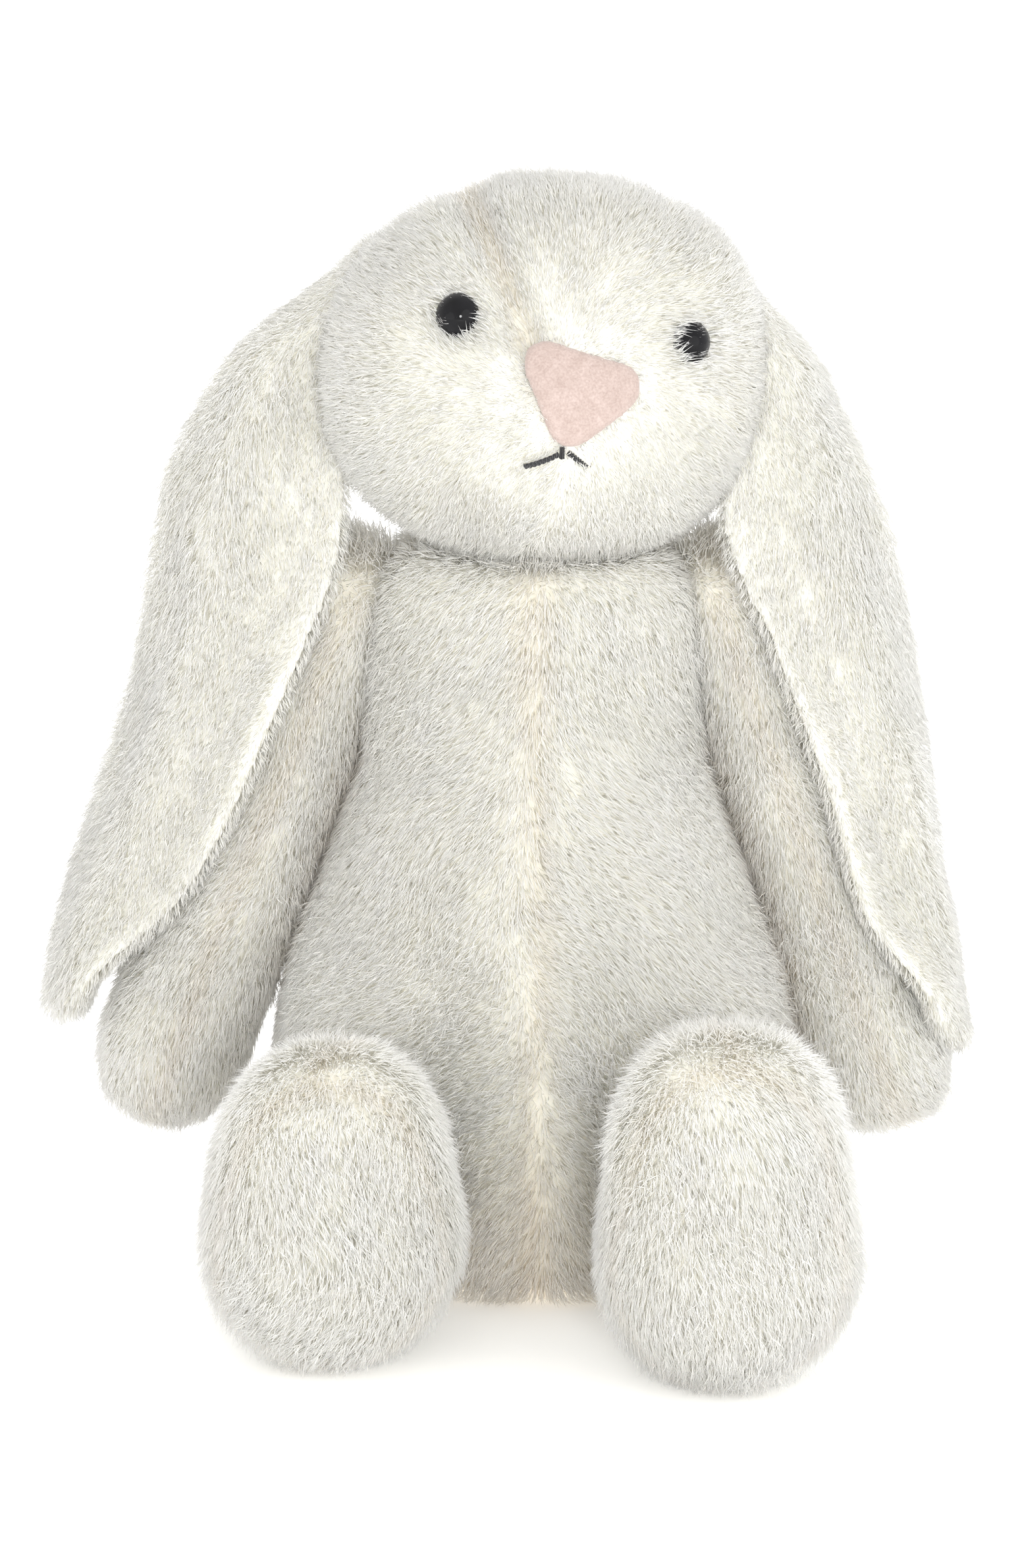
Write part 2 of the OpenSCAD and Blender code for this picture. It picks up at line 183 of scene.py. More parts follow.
class Shader:
    """A Principled material, with short calls for the nodes that the finishes here need."""

    def __init__(self, name, roughness=0.8, **numbers):
        self.material = bpy.data.materials.new(name)
        self.material.use_nodes = True
        self.tree = self.material.node_tree
        self.bsdf = self.tree.nodes["Principled BSDF"]
        self.set("Roughness", roughness)
        for socket, value in numbers.items():
            self.set(socket.replace("_", " "), value)

    def set(self, socket, value):
        self.bsdf.inputs[socket].default_value = value

    def node(self, kind, **values):
        made = self.tree.nodes.new(kind)
        for key, value in values.items():
            if hasattr(made, key):
                setattr(made, key, value)
            else:
                made.inputs[key.replace("_", " ")].default_value = value
        return made

    def link(self, source, target):
        self.tree.links.new(source, target)

    def noise(self, scale, detail=3.0, stretch=(1, 1, 1)):
        """Noise over the object's own coordinates, in cycles a metre."""
        place = self.node("ShaderNodeTexCoord")
        mapping = self.node("ShaderNodeMapping", Scale=stretch)
        noise = self.node("ShaderNodeTexNoise", Scale=scale, Detail=detail)
        self.link(place.outputs["Object"], mapping.inputs["Vector"])
        self.link(mapping.outputs["Vector"], noise.inputs["Vector"])
        return noise.outputs["Fac"]

    def ramp(self, value, *stops):
        """A colour ramp; each stop is a place and a colour."""
        ramp = self.node("ShaderNodeValToRGB")
        elements = ramp.color_ramp.elements
        while len(elements) < len(stops):
            elements.new(0.5)
        for element, (place, colour) in zip(elements, stops):
            element.position = place
            element.color = (*colour, 1)
        self.link(value, ramp.inputs["Fac"])
        return ramp.outputs["Color"]

    def multiply(self, a, b):
        mix = self.node("ShaderNodeMix", data_type="RGBA", blend_type="MULTIPLY")
        mix.inputs["Factor"].default_value = 1.0
        self.link(a, mix.inputs[6])
        self.link(b, mix.inputs[7])
        return mix.outputs[2]

    def bump(self, height, distance, strength=1.0):
        bump = self.node("ShaderNodeBump", Strength=strength, Distance=distance)
        self.link(height, bump.inputs["Height"])
        self.link(bump.outputs["Normal"], self.bsdf.inputs["Normal"])

    def colour(self, source):
        self.link(source, self.bsdf.inputs["Base Color"])


HAIR_ROOT = (0.94, 0.91, 0.80)
HAIR_MIDDLE = (0.965, 0.957, 0.918)
HAIR_TIP = (0.98, 0.976, 0.954)
UNDERCOAT = (0.955, 0.94, 0.87)
SEAM_SHADE = (0.93, 0.83, 0.70)
HAIR_SHADE_TINT = (0.97, 0.87, 0.75)


def hair_material():
    """White hair, warmer towards the root, with painted shade as a warmer tint beside seams, in crevices and
    low down, and soft patches of shade.
    """
    s = Shader("plush_hair", roughness=0.85, Sheen_Weight=0.25, Sheen_Roughness=0.5)
    s.set("Specular IOR Level", 0.15)
    s.set("Subsurface Weight", 0.5)
    s.set("Subsurface Radius", (1.0, 0.95, 0.85))
    s.set("Subsurface Scale", 1.5 * MM)
    uv = s.node("ShaderNodeUVMap", uv_map="OFBake")
    split = s.node("ShaderNodeSeparateXYZ")
    s.link(uv.outputs["UV"], split.inputs["Vector"])
    along = s.ramp(split.outputs["Y"], (0.0, HAIR_ROOT), (0.4, HAIR_MIDDLE), (0.85, HAIR_TIP))
    # Painted shade: hairs beside a seam, in a crevice or low on the body take a warmer, darker tint, from
    # the mark carried in the UV's X.
    shade_tint = s.ramp(split.outputs["X"], (0.1, (1, 1, 1)), (0.9, HAIR_SHADE_TINT))
    patches = s.ramp(s.noise(90, 2), (0.35, (0.97, 0.967, 0.95)), (0.65, (1, 1, 1)))
    s.colour(s.multiply(s.multiply(along, shade_tint), patches))
    return s.material


def undercoat_material():
    """The dense short pile under the longer hair, warmer at a seam's backing and with painted shade in
    crevices and low down.
    """
    s = Shader("plush_undercoat", roughness=0.95)
    s.set("Specular IOR Level", 0.1)
    s.set("Subsurface Weight", 0.6)
    s.set("Subsurface Radius", (1.0, 0.95, 0.85))
    s.set("Subsurface Scale", 2.0 * MM)
    darker = tuple(0.97 * c for c in UNDERCOAT)
    pile = s.ramp(s.noise(700, 4), (0.3, darker), (0.7, UNDERCOAT))
    # The mark read here mixes in SEAM_SHADE: the backing at a seam, and painted shade in a crevice or low
    # down.
    backing_and_shade = s.node("ShaderNodeAttribute", attribute_name="backing_and_shade")
    mix = s.node("ShaderNodeMix", data_type="RGBA")
    s.link(backing_and_shade.outputs["Fac"], mix.inputs["Factor"])
    s.link(pile, mix.inputs[6])
    mix.inputs[7].default_value = (*SEAM_SHADE, 1)
    s.colour(mix.outputs[2])
    s.bump(s.noise(1500, 3), 0.15 * MM)
    return s.material


def suede_material():
    """Short napped pink suede, brushed in soft patches."""
    s = Shader("nose_suede", roughness=0.92, Sheen_Weight=0.35, Sheen_Roughness=0.45)
    s.set("Specular IOR Level", 0.2)
    patches = s.ramp(s.noise(420, 5), (0.3, (0.50, 0.40, 0.365)), (0.7, (0.57, 0.465, 0.43)))
    nap = s.ramp(s.noise(2400, 5), (0.35, (0.84, 0.81, 0.80)), (0.65, (1, 1, 1)))
    s.colour(s.multiply(patches, nap))
    s.bump(s.noise(1800, 5), 0.3 * MM)
    return s.material


def eye_material():
    """Black moulded plastic with a deep polish and the faintest mottling."""
    s = Shader("eye_gloss", roughness=0.05)
    s.set("Specular IOR Level", 0.2)
    s.colour(s.ramp(s.noise(300, 2), (0.3, (0.004, 0.004, 0.005)), (0.7, (0.009, 0.009, 0.011))))
    s.bump(s.noise(120, 1), 0.02 * MM, 0.1)
    return s.material


def thread_material(name, dark, light):
    """Twisted yarn: a slanting ply pattern as colour and bump."""
    s = Shader(name, roughness=0.7, Sheen_Weight=0.2)
    wave = s.node("ShaderNodeTexWave", Scale=900, Distortion=1.5)
    place = s.node("ShaderNodeTexCoord")
    s.link(place.outputs["Object"], wave.inputs["Vector"])
    s.colour(s.ramp(wave.outputs["Fac"], (0.2, dark), (0.8, light)))
    s.bump(wave.outputs["Fac"], 0.15 * MM)
    return s.material


def plastic_material(name, dark, light, scale):
    """Matte moulded plastic with slight unevenness."""
    s = Shader(name, roughness=0.45)
    s.colour(s.ramp(s.noise(scale, 2), (0.3, dark), (0.7, light)))
    s.bump(s.noise(scale * 3, 2), 0.05 * MM, 0.4)
    return s.material


def cloth_material(name, dark, light, scale):
    """Plain woven cloth: crossed waves as weave."""
    s = Shader(name, roughness=0.85, Sheen_Weight=0.15)
    place = s.node("ShaderNodeTexCoord")
    weave = s.node("ShaderNodeTexBrick", Scale=scale)
    s.link(place.outputs["Object"], weave.inputs["Vector"])
    weave.inputs["Color1"].default_value = (*light, 1)
    weave.inputs["Color2"].default_value = (*light, 1)
    weave.inputs["Mortar"].default_value = (*dark, 1)
    s.colour(weave.outputs["Color"])
    s.bump(weave.outputs["Fac"], 0.1 * MM)
    return s.material


def paint(piece, material):
    piece.data.materials.clear()
    piece.data.materials.append(material)


# ---- Skins ----

def largest_shell(mesh):
    """Keeps the largest connected shell of a mesh and drops any bubbles inside it."""
    edges = np.empty(len(mesh.edges) * 2, int)
    mesh.edges.foreach_get("vertices", edges)
    label = spread_labels(np.arange(len(mesh.vertices)), edges.reshape(-1, 2))
    names, sizes = np.unique(label, return_counts=True)
    keep = label == names[sizes.argmax()]
    if keep.all():
        return mesh
    place = np.cumsum(keep) - 1
    faces = [[place[v] for v in f.vertices] for f in mesh.polygons if keep[f.vertices[0]]]
    kept = bpy.data.meshes.new(mesh.name)
    kept.from_pydata(points_of(mesh)[keep], [], faces)
    return kept


def make_skin(name, parts, voxel, smoothing, inset):
    """A single closed surface round the named CAD nodes, smoothed and moved inwards."""
    skin = new_piece(name, *joined(parts))
    remesh = skin.modifiers.new("Remesh", "REMESH")
    remesh.mode = "VOXEL"
    remesh.voxel_size = voxel
    smooth = skin.modifiers.new("Smooth", "SMOOTH")
    smooth.iterations = smoothing
    apply_modifiers(skin)
    skin.data = largest_shell(skin.data)
    set_points(skin.data, points_of(skin.data) - inset * normals_of(skin.data))
    return skin


def fill_skins(skins):
    """Swells each skin like a filled cloth bag. No point moves further than the cap."""
    starts = [points_of(skin.data) for skin in skins]
    for skin in skins:
        cloth = skin.modifiers.new("Cloth", "CLOTH").settings
        cloth.quality = 5
        cloth.mass = 0.2
        cloth.tension_stiffness = 12
        cloth.compression_stiffness = 12
        cloth.bending_stiffness = 0.3
        cloth.use_pressure = True
        cloth.uniform_pressure_force = 4
        cloth.effector_weights.gravity = 0
    for f in range(1, SIM_FRAMES + 1):
        scene.frame_set(f)
    for skin, start in zip(skins, starts):
        move = points_of(apply_modifiers(skin)) - start
        far = np.maximum(np.linalg.norm(move, axis=1, keepdims=True), 1e-9)
        moved = start + move * np.minimum(1, SIM_CAP / far)
        moved[:, 2] = np.maximum(moved[:, 2], start[:, 2].min())
        set_points(skin.data, moved)
    scene.frame_set(1)


def subdivide(skin):
    divide = skin.modifiers.new("Subdivision", "SUBSURF")
    divide.levels = 1
    divide.render_levels = 1
    apply_modifiers(skin)


def seam_field(points, panels):
    """Distance of each point from the nearest seam between panels, and the way away from it."""
    trees = [bvh_of([p]) for p in panels]
    found = [[tree.find_nearest(p) for tree in trees] for p in points]
    reach = np.array([[hit[3] for hit in row] for row in found])
    order = reach.argsort(axis=1)
    rows = np.arange(len(points))
    second = order[:, 1]
    seam = reach[rows, second] - reach[rows, order[:, 0]]
    nearest = np.array([tuple(row[k][0]) for row, k in zip(found, second)])
    return seam, unit(points - nearest)


def press_seams(skin, panels, depth, width):
    """Presses a crease along every seam and returns the seam field as it was before."""
    mesh = skin.data
    seam, away = seam_field(points_of(mesh), panels)
    crease = depth * bell(seam, width)
    set_points(mesh, points_of(mesh) - crease[:, None] * normals_of(mesh))
    return seam, away


def mark_backing_and_shade(skin, backing_and_shade):
    """Marks how far the warmer backing shows at a seam and how much painted shade lies in a crevice or low
    down, on the undercoat and on the hair.
    """
    values = np.clip(backing_and_shade, 0, 1).astype(np.float32)
    skin.data.attributes.new("backing_and_shade", "FLOAT", "POINT").data.foreach_set("value", values)


def backing_and_shade_of(mesh):
    values = np.zeros(len(mesh.vertices), np.float32)
    if "backing_and_shade" in mesh.attributes:
        mesh.attributes["backing_and_shade"].data.foreach_get("value", values)
    return values


# ---- Hair ----

def wander(points, scale, rng, waves=6):
    """Smooth random vectors that change over about the given distance."""
    wave = rng.normal(size=(3, waves, 3)) / scale
    phase = rng.uniform(0, 2 * math.pi, (3, waves))
    return np.stack([np.sin(points @ wave[a].T + phase[a]).sum(1) for a in range(3)], 1) / math.sqrt(waves)


def scatter(mesh, density, rng):
    """Random places on a mesh: for each, its triangle's corners and their weights."""
    points = points_of(mesh)
    triangles = triangles_of(mesh)
    a, b, c = (points[triangles[:, k]] for k in range(3))
    area = np.linalg.norm(np.cross(b - a, c - a), axis=1) / 2
    count = int(area.sum() * density)
    chosen = np.searchsorted(np.cumsum(area), rng.random(count) * area.sum())
    chosen = np.minimum(chosen, len(area) - 1)
    r, s = rng.random((2, count))
    r = np.sqrt(r)
    weights = np.stack([1 - r, r * (1 - s), r * s], 1)
    return triangles[chosen], weights


def carried(field, corners, weights):
    """A field on the vertices, carried to the scattered places."""
    if field.ndim == 1:
        return (field[corners] * weights).sum(1)
    return (field[corners] * weights[:, :, None]).sum(1)


def clump_means(roots, tips, size, rng):
    """For each hair, the mean tip of the clump that it stands in."""
    shifted = roots + wander(roots, 3 * size, rng) * size * 0.4
    cells = np.floor(shifted / size).astype(np.int64)
    cells -= cells.min(0)
    spread = cells.max(0) + 1
    key = (cells[:, 0] * spread[1] + cells[:, 1]) * spread[2] + cells[:, 2]
    _, clump = np.unique(key, return_inverse=True)
    count = np.bincount(clump)
    mean = np.stack([np.bincount(clump, tips[:, a]) / count for a in range(3)], 1)
    return mean[clump]


class Pelt:
    """Hair on a skin. Each vertex of the skin has a flow direction, a length and a fluff.

    The density is in hairs a square metre. A fluff of 0 lies flat, and one of 1 stands well up.
    """

    density = 4.0e6
    width = 0.19 * MM
    clump = 3.0 * MM
    pull = 0.14
    root_depth = 0.6 * MM

    def __init__(self, skin, flow, length, fluff, seed):
        self.skin = skin
        self.rng = np.random.default_rng(seed)
        mesh = skin.data
        self.normals = normals_of(mesh)
        self.backing_and_shade = backing_and_shade_of(mesh)
        count = len(self.normals)
        self.flow = flow
        self.length = np.broadcast_to(length, count)
        self.fluff = np.broadcast_to(fluff, count)

    def hairs(self, hidden):
        """Roots, middles, tips, the skin's normals, and the warmth of each hair from the skin's mark of
        backing and painted shade.
        """
        rng = self.rng
        corners, weights = scatter(self.skin.data, self.density, rng)
        root = carried(points_of(self.skin.data), corners, weights)
        keep = ~hidden(root)
        corners, weights, root = corners[keep], weights[keep], root[keep]
        normal = unit(carried(self.normals, corners, weights))
        flow = carried(self.flow, corners, weights)
        flow = flow + 0.35 * wander(root, 9 * MM, rng) + 0.3 * rng.normal(size=root.shape)
        flow = flow - (flow * normal).sum(1, keepdims=True) * normal
        flow = flow / np.maximum(1, np.linalg.norm(flow, axis=1, keepdims=True))
        length = carried(self.length, corners, weights) * rng.uniform(0.75, 1.15, len(root))
        fluff = carried(self.fluff, corners, weights)[:, None]
        low = unit(normal * (0.35 + fluff) + flow)
        high = unit(normal * (fluff - 0.1) + flow + 0.12 * rng.normal(size=root.shape))
        half = length[:, None] / 2
        middle = root + half * low
        tip = middle + half * high
        tip += self.pull * (clump_means(root, tip, self.clump, rng) - tip)
        middle += 0.4 * self.pull * (clump_means(root, middle, self.clump, rng) - middle)
        root = root - self.root_depth * normal
        return root, middle, tip, normal, carried(self.backing_and_shade, corners, weights)

    def grow(self, name, body, hidden=lambda root: np.zeros(len(root), bool)):
        """Makes the hair meshes, each below the size that one piece may have."""
        strands = self.hairs(hidden)
        root = strands[0]
        bands = np.array_split(np.argsort(root[:, 2]), math.ceil(len(root) / HAIRS_PER_PIECE))
        for number, band in enumerate(bands, 1):
            piece = hair_mesh(f"{name}_{number}", *(s[band] for s in strands), self.width, self.rng)
            paint(piece, HAIR)
            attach(piece, body)


def hair_mesh(name, root, middle, tip, normal, warmth, width, rng):
    """Closed spindles: a point at the root, a ring of three in the middle, and a point at the tip."""
    count = len(root)
    along = unit(tip - root)
    side = unit(np.cross(along, normal + 0.3 * rng.normal(size=normal.shape)))
    face = np.cross(along, side)
    ring = []
    for turn in range(3):
        angle = math.radians(90 + 120 * turn)
        ring.append(middle + (math.cos(angle) * side + math.sin(angle) * face) * width / 2)
    points = np.stack([root, *ring, tip], 1).reshape(-1, 3)
    points[:, 2] = np.maximum(points[:, 2], FLOOR_GAP)
    spindle = np.array([[0, 2, 1], [0, 3, 2], [0, 1, 3], [1, 2, 4], [2, 3, 4], [3, 1, 4]])
    faces = (np.arange(count)[:, None, None] * 5 + spindle).reshape(-1, 3)
    mesh = bpy.data.meshes.new(name)
    mesh.vertices.add(len(points))
    mesh.vertices.foreach_set("co", points.ravel().astype(np.float32))
    mesh.loops.add(faces.size)
    mesh.loops.foreach_set("vertex_index", faces.ravel().astype(np.int32))
    mesh.polygons.add(len(faces))
    mesh.polygons.foreach_set("loop_start", np.arange(0, faces.size, 3, dtype=np.int32))
    mesh.update(calc_edges=True)
    # The UV's X carries the skin's mark of backing and painted shade to the hair's tint.
    across = np.repeat(0.05 + 0.9 * warmth, 5) + np.tile([0, -0.02, 0, 0.02, 0], count)
    uv = np.stack([across, np.tile([0, 0.5, 0.5, 0.5, 1], count)], 1)
    layer = mesh.uv_layers.new(name="OFBake")
    layer.data.foreach_set("uv", uv[faces.ravel()].ravel().astype(np.float32))
    mesh.shade_smooth()
    piece = bpy.data.objects.new(name, mesh)
    scene.collection.objects.link(piece)
    return piece


# ---- Camera, floor and light ----

CAMERA_RISE = math.radians(13)
CAMERA_DISTANCE = 1.25
CAMERA_LENS = 100.8
HAIR_BOUNCES = 12
FLOOR_SPAN = 4


def place_camera():
    """Straight at the toy's front, looking down at its belly by the angle of the rise."""
    neck = joint_place("neck_turn")
    aim = Vector((neck[0] - 4.5 * MM, 0, 0.66 * neck[2]))
    back = Vector((0, -math.cos(CAMERA_RISE), math.sin(CAMERA_RISE)))
    camera = bpy.data.objects.new("camera", bpy.data.cameras.new("camera"))
    scene.collection.objects.link(camera)
    camera.location = aim + back * CAMERA_DISTANCE
    camera.rotation_euler = (-back).to_track_quat("-Z", "Y").to_euler()
    camera.data.sensor_fit = "VERTICAL"
    camera.data.sensor_height = 24
    camera.data.lens = CAMERA_LENS
    camera.data.clip_start = 0.05
    scene.camera = camera
    return aim


def area_light(name, place, aim, size, power):
    lamp = bpy.data.lights.new(name, "AREA")
    lamp.shape = "DISK"
    lamp.size = size
    lamp.energy = power
    light = bpy.data.objects.new(name, lamp)
    scene.collection.objects.link(light)
    light.location = place
    light.rotation_euler = (Vector(aim) - Vector(place)).to_track_quat("-Z", "Y").to_euler()


def make_studio(aim):
    """A pale floor in an even white surround, with wide weak lights and a small one for the eyes' glint."""
    scene.view_settings.view_transform = "Standard"
    scene.view_settings.look = "None"
    scene.cycles.diffuse_bounces = HAIR_BOUNCES
    world = bpy.data.worlds.new("studio")
    world.use_nodes = True
    surround = world.node_tree.nodes["Background"]
    surround.inputs["Color"].default_value = (1.0, 0.99, 0.97, 1)
    surround.inputs["Strength"].default_value = 1.2
    scene.world = world
    area_light("key", (0.75, -1.0, 0.4), aim, 1.2, 3)
    area_light("glint", (0.12, -1.1, 0.3), aim, 0.2, 3.8)
    area_light("fill", (-0.9, -0.9, 0.2), aim, 1.0, 1.5)
    area_light("back", (0.3, 1.3, 0.5), aim, 1.2, 5)
    corners = [(FLOOR_SPAN * x, FLOOR_SPAN * y, 0) for x, y in ((-1, -1), (1, -1), (1, 1), (-1, 1))]
    floor = new_piece("floor", corners, [(0, 1, 2, 3)])
    s = Shader("floor_paper", roughness=0.9)
    s.colour(s.ramp(s.noise(40, 2), (0.3, (0.955, 0.955, 0.95)), (0.7, (0.965, 0.965, 0.96))))
    s.set("Emission Color", (1, 1, 1, 1))
    s.set("Emission Strength", 0.2)
    paint(floor, s.material)


# ---- The rabbit ----

HAIR = hair_material()
UNDERCOAT_FINISH = undercoat_material()

STUFFED_VOXEL = 4 * MM
EAR_VOXEL = 1.8 * MM
NOSE_VOXEL = 0.7 * MM
SKIN_INSET = 0.2 * MM
NOSE_INSET = -0.4 * MM

# How far the neck spreads, the chest fills out across, back and up, and the crown leans.
COLLAR_SPREAD = 1.3
CHEST_SPREAD = (0.36, 0.1)
CHEST_RISE = 5 * MM
CROWN_LEAN = 4 * MM

# How far an ear's root sinks into the head and rises, its tip draws in, and its front edge drapes
# inwards over the arm and presses back against it.
EAR_SINK = 9 * MM
EAR_LIFT = 1 * MM
EAR_TIP_DRAW = {"left": 3.5 * MM, "right": 0}
EAR_DRAPE = 9 * MM
EAR_PRESS = {"left": 6 * MM, "right": 4.5 * MM}

# Length and fluff of each pile, hairs a square metre beside the eyes, the warmth of the body's pile
# all over, and the radius of the bare ball in the neck.
PILE = {"torso": (6 * MM, 0.4), "arm": (6 * MM, 0.42), "leg": (7 * MM, 0.5), "ear": (6 * MM, 0.38),
        "tail": (8 * MM, 0.9), "neck": (7 * MM, 0.5), "brow": (4.6 * MM, 0.9)}
BROW_DENSITY = 1.1e6
BODY_WARMTH = 0.06
NECK_BARE = 17 * MM

HEAD_PANELS = ["left_cheek_panel", "right_cheek_panel", "crown_gusset", "head_back_panel"]
TORSO_PANELS = [f"torso_{end}_{side}_panel" for end in ("front", "back") for side in ("left", "right")]
SIDES = ("left", "right")
EYES = ["left_eye", "right_eye"]


def panels_of(kind, side):
    if kind == "leg":
        return [f"{side}_leg_outer_panel", f"{side}_leg_inner_panel", f"{side}_sole_panel"]
    return [f"{side}_{kind}_outer_panel", f"{side}_{kind}_inner_panel"]


def make_skins():
    """Every skin by name: stuffed ones first swollen by simulation, then all finished alike."""
    plan = {
        "head_skin": (HEAD_PANELS, ["head_stuffing"]),
        "torso_skin": (TORSO_PANELS, ["seat_panel", "torso_stuffing"]),
        "tail_skin": (["tail_cover"], ["tail_stuffing"]),
        "neck_skin": ([], ["neck_stuffing"]),
    }
    for side in SIDES:
        for kind in ("arm", "leg"):
            plan[f"{side}_{kind}_skin"] = (panels_of(kind, side), [f"{side}_{kind}_stuffing"])
    skins = {}
    for name, (panels, inner) in plan.items():
        skins[name] = make_skin(name, panels + inner, STUFFED_VOXEL, 6, SKIN_INSET)
        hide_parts(*panels, *inner)
    fill_skins(list(skins.values()))
    for skin in skins.values():
        subdivide(skin)
    raise_chest(skins["torso_skin"])
    widen_neck(skins["neck_skin"])
    lean_crown(skins["head_skin"])
    for side in SIDES:
        panels = panels_of("ear", side)
        name = f"{side}_ear_skin"
        skins[name] = make_skin(name, panels, EAR_VOXEL, 3, SKIN_INSET)
        seat_ear(skins[name], side)
        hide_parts(*panels)
    for name, skin in skins.items():
        skin.data.shade_smooth()
        paint(skin, UNDERCOAT_FINISH)
        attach(skin, name.removesuffix("_skin"))
    return skins


def widen_neck(skin):
    """Spreads the ball of the neck into a collar that fills the space under the chin."""
    points = points_of(skin.data)
    centre = joint_place("neck_turn")
    points[:, :2] = centre[:2] + (points[:, :2] - centre[:2]) * COLLAR_SPREAD
    set_points(skin.data, points)


def raise_chest(skin):
    """Fills out the top of the torso between the shoulders, up to the chin."""
    points = points_of(skin.data)
    high = smooth_step((points[:, 2] - 95 * MM) / (35 * MM))
    points[:, 0] *= 1 + CHEST_SPREAD[0] * high
    points[:, 1] *= 1 + CHEST_SPREAD[1] * high
    points[:, 2] += CHEST_RISE * high
    set_points(skin.data, points)


def lean_crown(skin):
    """Moves the top of the head to the toy's left, as its stuffing has settled."""
    points = points_of(skin.data)
    middle = middle_of("head_stuffing")[2]
    points[:, 0] += CROWN_LEAN * smooth_step((points[:, 2] - middle) / (34 * MM))
    set_points(skin.data, points)


def seat_ear(skin, side):
    """Sinks the root of an ear into the head, lays its front edge over the arm, and draws its tip in."""
    points = points_of(skin.data)
    root = joint_place(f"{side}_ear_lift")
    inward = -np.sign(root[0])
    near_root = smooth_step((points[:, 2] - root[2] + 22 * MM) / (22 * MM))
    near_tip = smooth_step((0.35 * root[2] - points[:, 2]) / (25 * MM))
    front = smooth_step((-4 * MM - points[:, 1]) / (17 * MM))
    over_arm = smooth_step((points[:, 2] - 50 * MM) / (20 * MM)) * (1 - near_root)
    drawn = EAR_SINK * near_root + EAR_TIP_DRAW[side] * near_tip + EAR_DRAPE * front * over_arm
    points[:, 0] += inward * drawn
    points[:, 1] += EAR_PRESS[side] * front * over_arm
    points[:, 2] += EAR_LIFT * near_root
    set_points(skin.data, points)


def in_neck(root):
    """Whether each root is in the ball where the head and the torso meet."""
    return np.linalg.norm(root - joint_place("neck_turn"), axis=1) < NECK_BARE


def grow_head(skin, nose_tree):
    """Short hair round the nose, flowing back from it over the crown and the cheeks."""
    points = points_of(skin.data)
    nose = middle_of("nose_patch")
    right_side = smooth_step((nose[0] - points[:, 0]) / (6 * MM) + 0.5)
    over_nose = smooth_step((points[:, 2] - nose[2]) / (10 * MM))
    in_front = smooth_step((4 * MM - points[:, 1]) / (12 * MM))
    depth = (0.5 + 3.0 * right_side * over_nose * in_front) * MM
    depth *= smooth_step((distances(points, EYES) - 1 * MM) / (5 * MM))
    seam, away = press_seams(skin, HEAD_PANELS, depth, 3.5 * MM)
    # The warmer band along the parted seam on the toy's right is the backing showing and partly painted
    # shade of the parting.
    mark_backing_and_shade(skin, 0.3 * bell(seam, 1.6 * MM) * right_side * over_nose)
    points = points_of(skin.data)
    from_nose = points - nose
    reach = np.linalg.norm(from_nose, axis=1)
    edge = nearest_way(points, nose_tree)[0]
    flow = unit(from_nose) * (0.1 + 0.9 * smooth_step(edge / (5 * MM)))[:, None]
    flow += np.array([0, 0.3, -0.15])
    flow += 0.6 * fade(seam, 3 * MM)[:, None] * away
    length = (3.2 + 2.4 * smooth_step((reach - 14 * MM) / (30 * MM))) * MM
    eyes, from_eyes = nearest_way(points, bvh_of(EYES))
    beside_nose = unit(nose - points)
    inner_side = smooth_step(0.5 - (from_eyes * beside_nose).sum(1))
    over_eye = fade(eyes, 3 * MM)
    flow -= (1.6 * over_eye * (0.35 + 0.65 * (1 - inner_side)))[:, None] * from_eyes
    length *= 1 + 0.9 * over_eye * (1 - inner_side)
    fluff = 0.3 + 0.25 * smooth_step((reach - 12 * MM) / (30 * MM)) + 0.3 * fade(eyes, 2 * MM)
    pelt = Pelt(skin, flow, length, fluff, seed=11)

    def hidden(root):
        nose_near = nearest_way(root, nose_tree)[0] < 0.15 * MM
        eye_near = distances(root, EYES) < 0.2 * MM
        return in_neck(root) | nose_near | eye_near

    pelt.grow("head_hair", "head", hidden)
    grow_lashes(skin, nose)


def grow_lashes(skin, nose):
    """Loose strands on the nose's side of each eye, which cross its edge."""
    eye_tree = bvh_of(EYES)
    from_eyes = nearest_way(points_of(skin.data), eye_tree)[1]
    pelt = Pelt(skin, -from_eyes, *PILE["brow"], seed=31)
    pelt.density = BROW_DENSITY
    pelt.root_depth = 0

    def hidden(root):
        reach, way = nearest_way(root, eye_tree)
        facing = (way * unit(nose - root)).sum(1) + 0.4 * way[:, 2]
        return (reach < 0.2 * MM) | (reach > 2.4 * MM) | (facing < 0.3)

    pelt.grow("brow_hair", "head", hidden)


def grow_torso(skin):
    """Hair down the body, brushed to both sides of the front and back seams."""
    seam, away = press_seams(skin, TORSO_PANELS, 0.7 * MM, 2.5 * MM)
    points = points_of(skin.data)
    beside_arm = distances(points, [f"{side}_arm_inner_panel" for side in SIDES])
    low_shade = smooth_step((45 * MM - points[:, 2]) / (40 * MM))
    crevice_shade = bell(beside_arm, 4 * MM) * smooth_step((110 * MM - points[:, 2]) / (20 * MM))
    # Painted shade: warmer and darker in the crevice beside each arm and low on the body, on top of the
    # backing at the seams.
    mark_backing_and_shade(skin, BODY_WARMTH + 0.2 * bell(seam, 1.6 * MM) + 0.8 * crevice_shade + 0.3 * low_shade)
    spread = 0.7 * np.tanh(points[:, 0] / (8 * MM)) * smooth_step(0.5 + 1.5 * np.abs(unit(points)[:, 1]))
    flow = np.stack([spread, np.zeros(len(points)), -np.ones(len(points))], 1)
    flow += 0.5 * fade(seam, 3 * MM)[:, None] * away
    pelt = Pelt(skin, flow, *PILE["torso"], seed=12)

    def hidden(root):
        return in_neck(root) | (root[:, 2] < 3.5 * MM)

    pelt.grow("torso_hair", "torso", hidden)


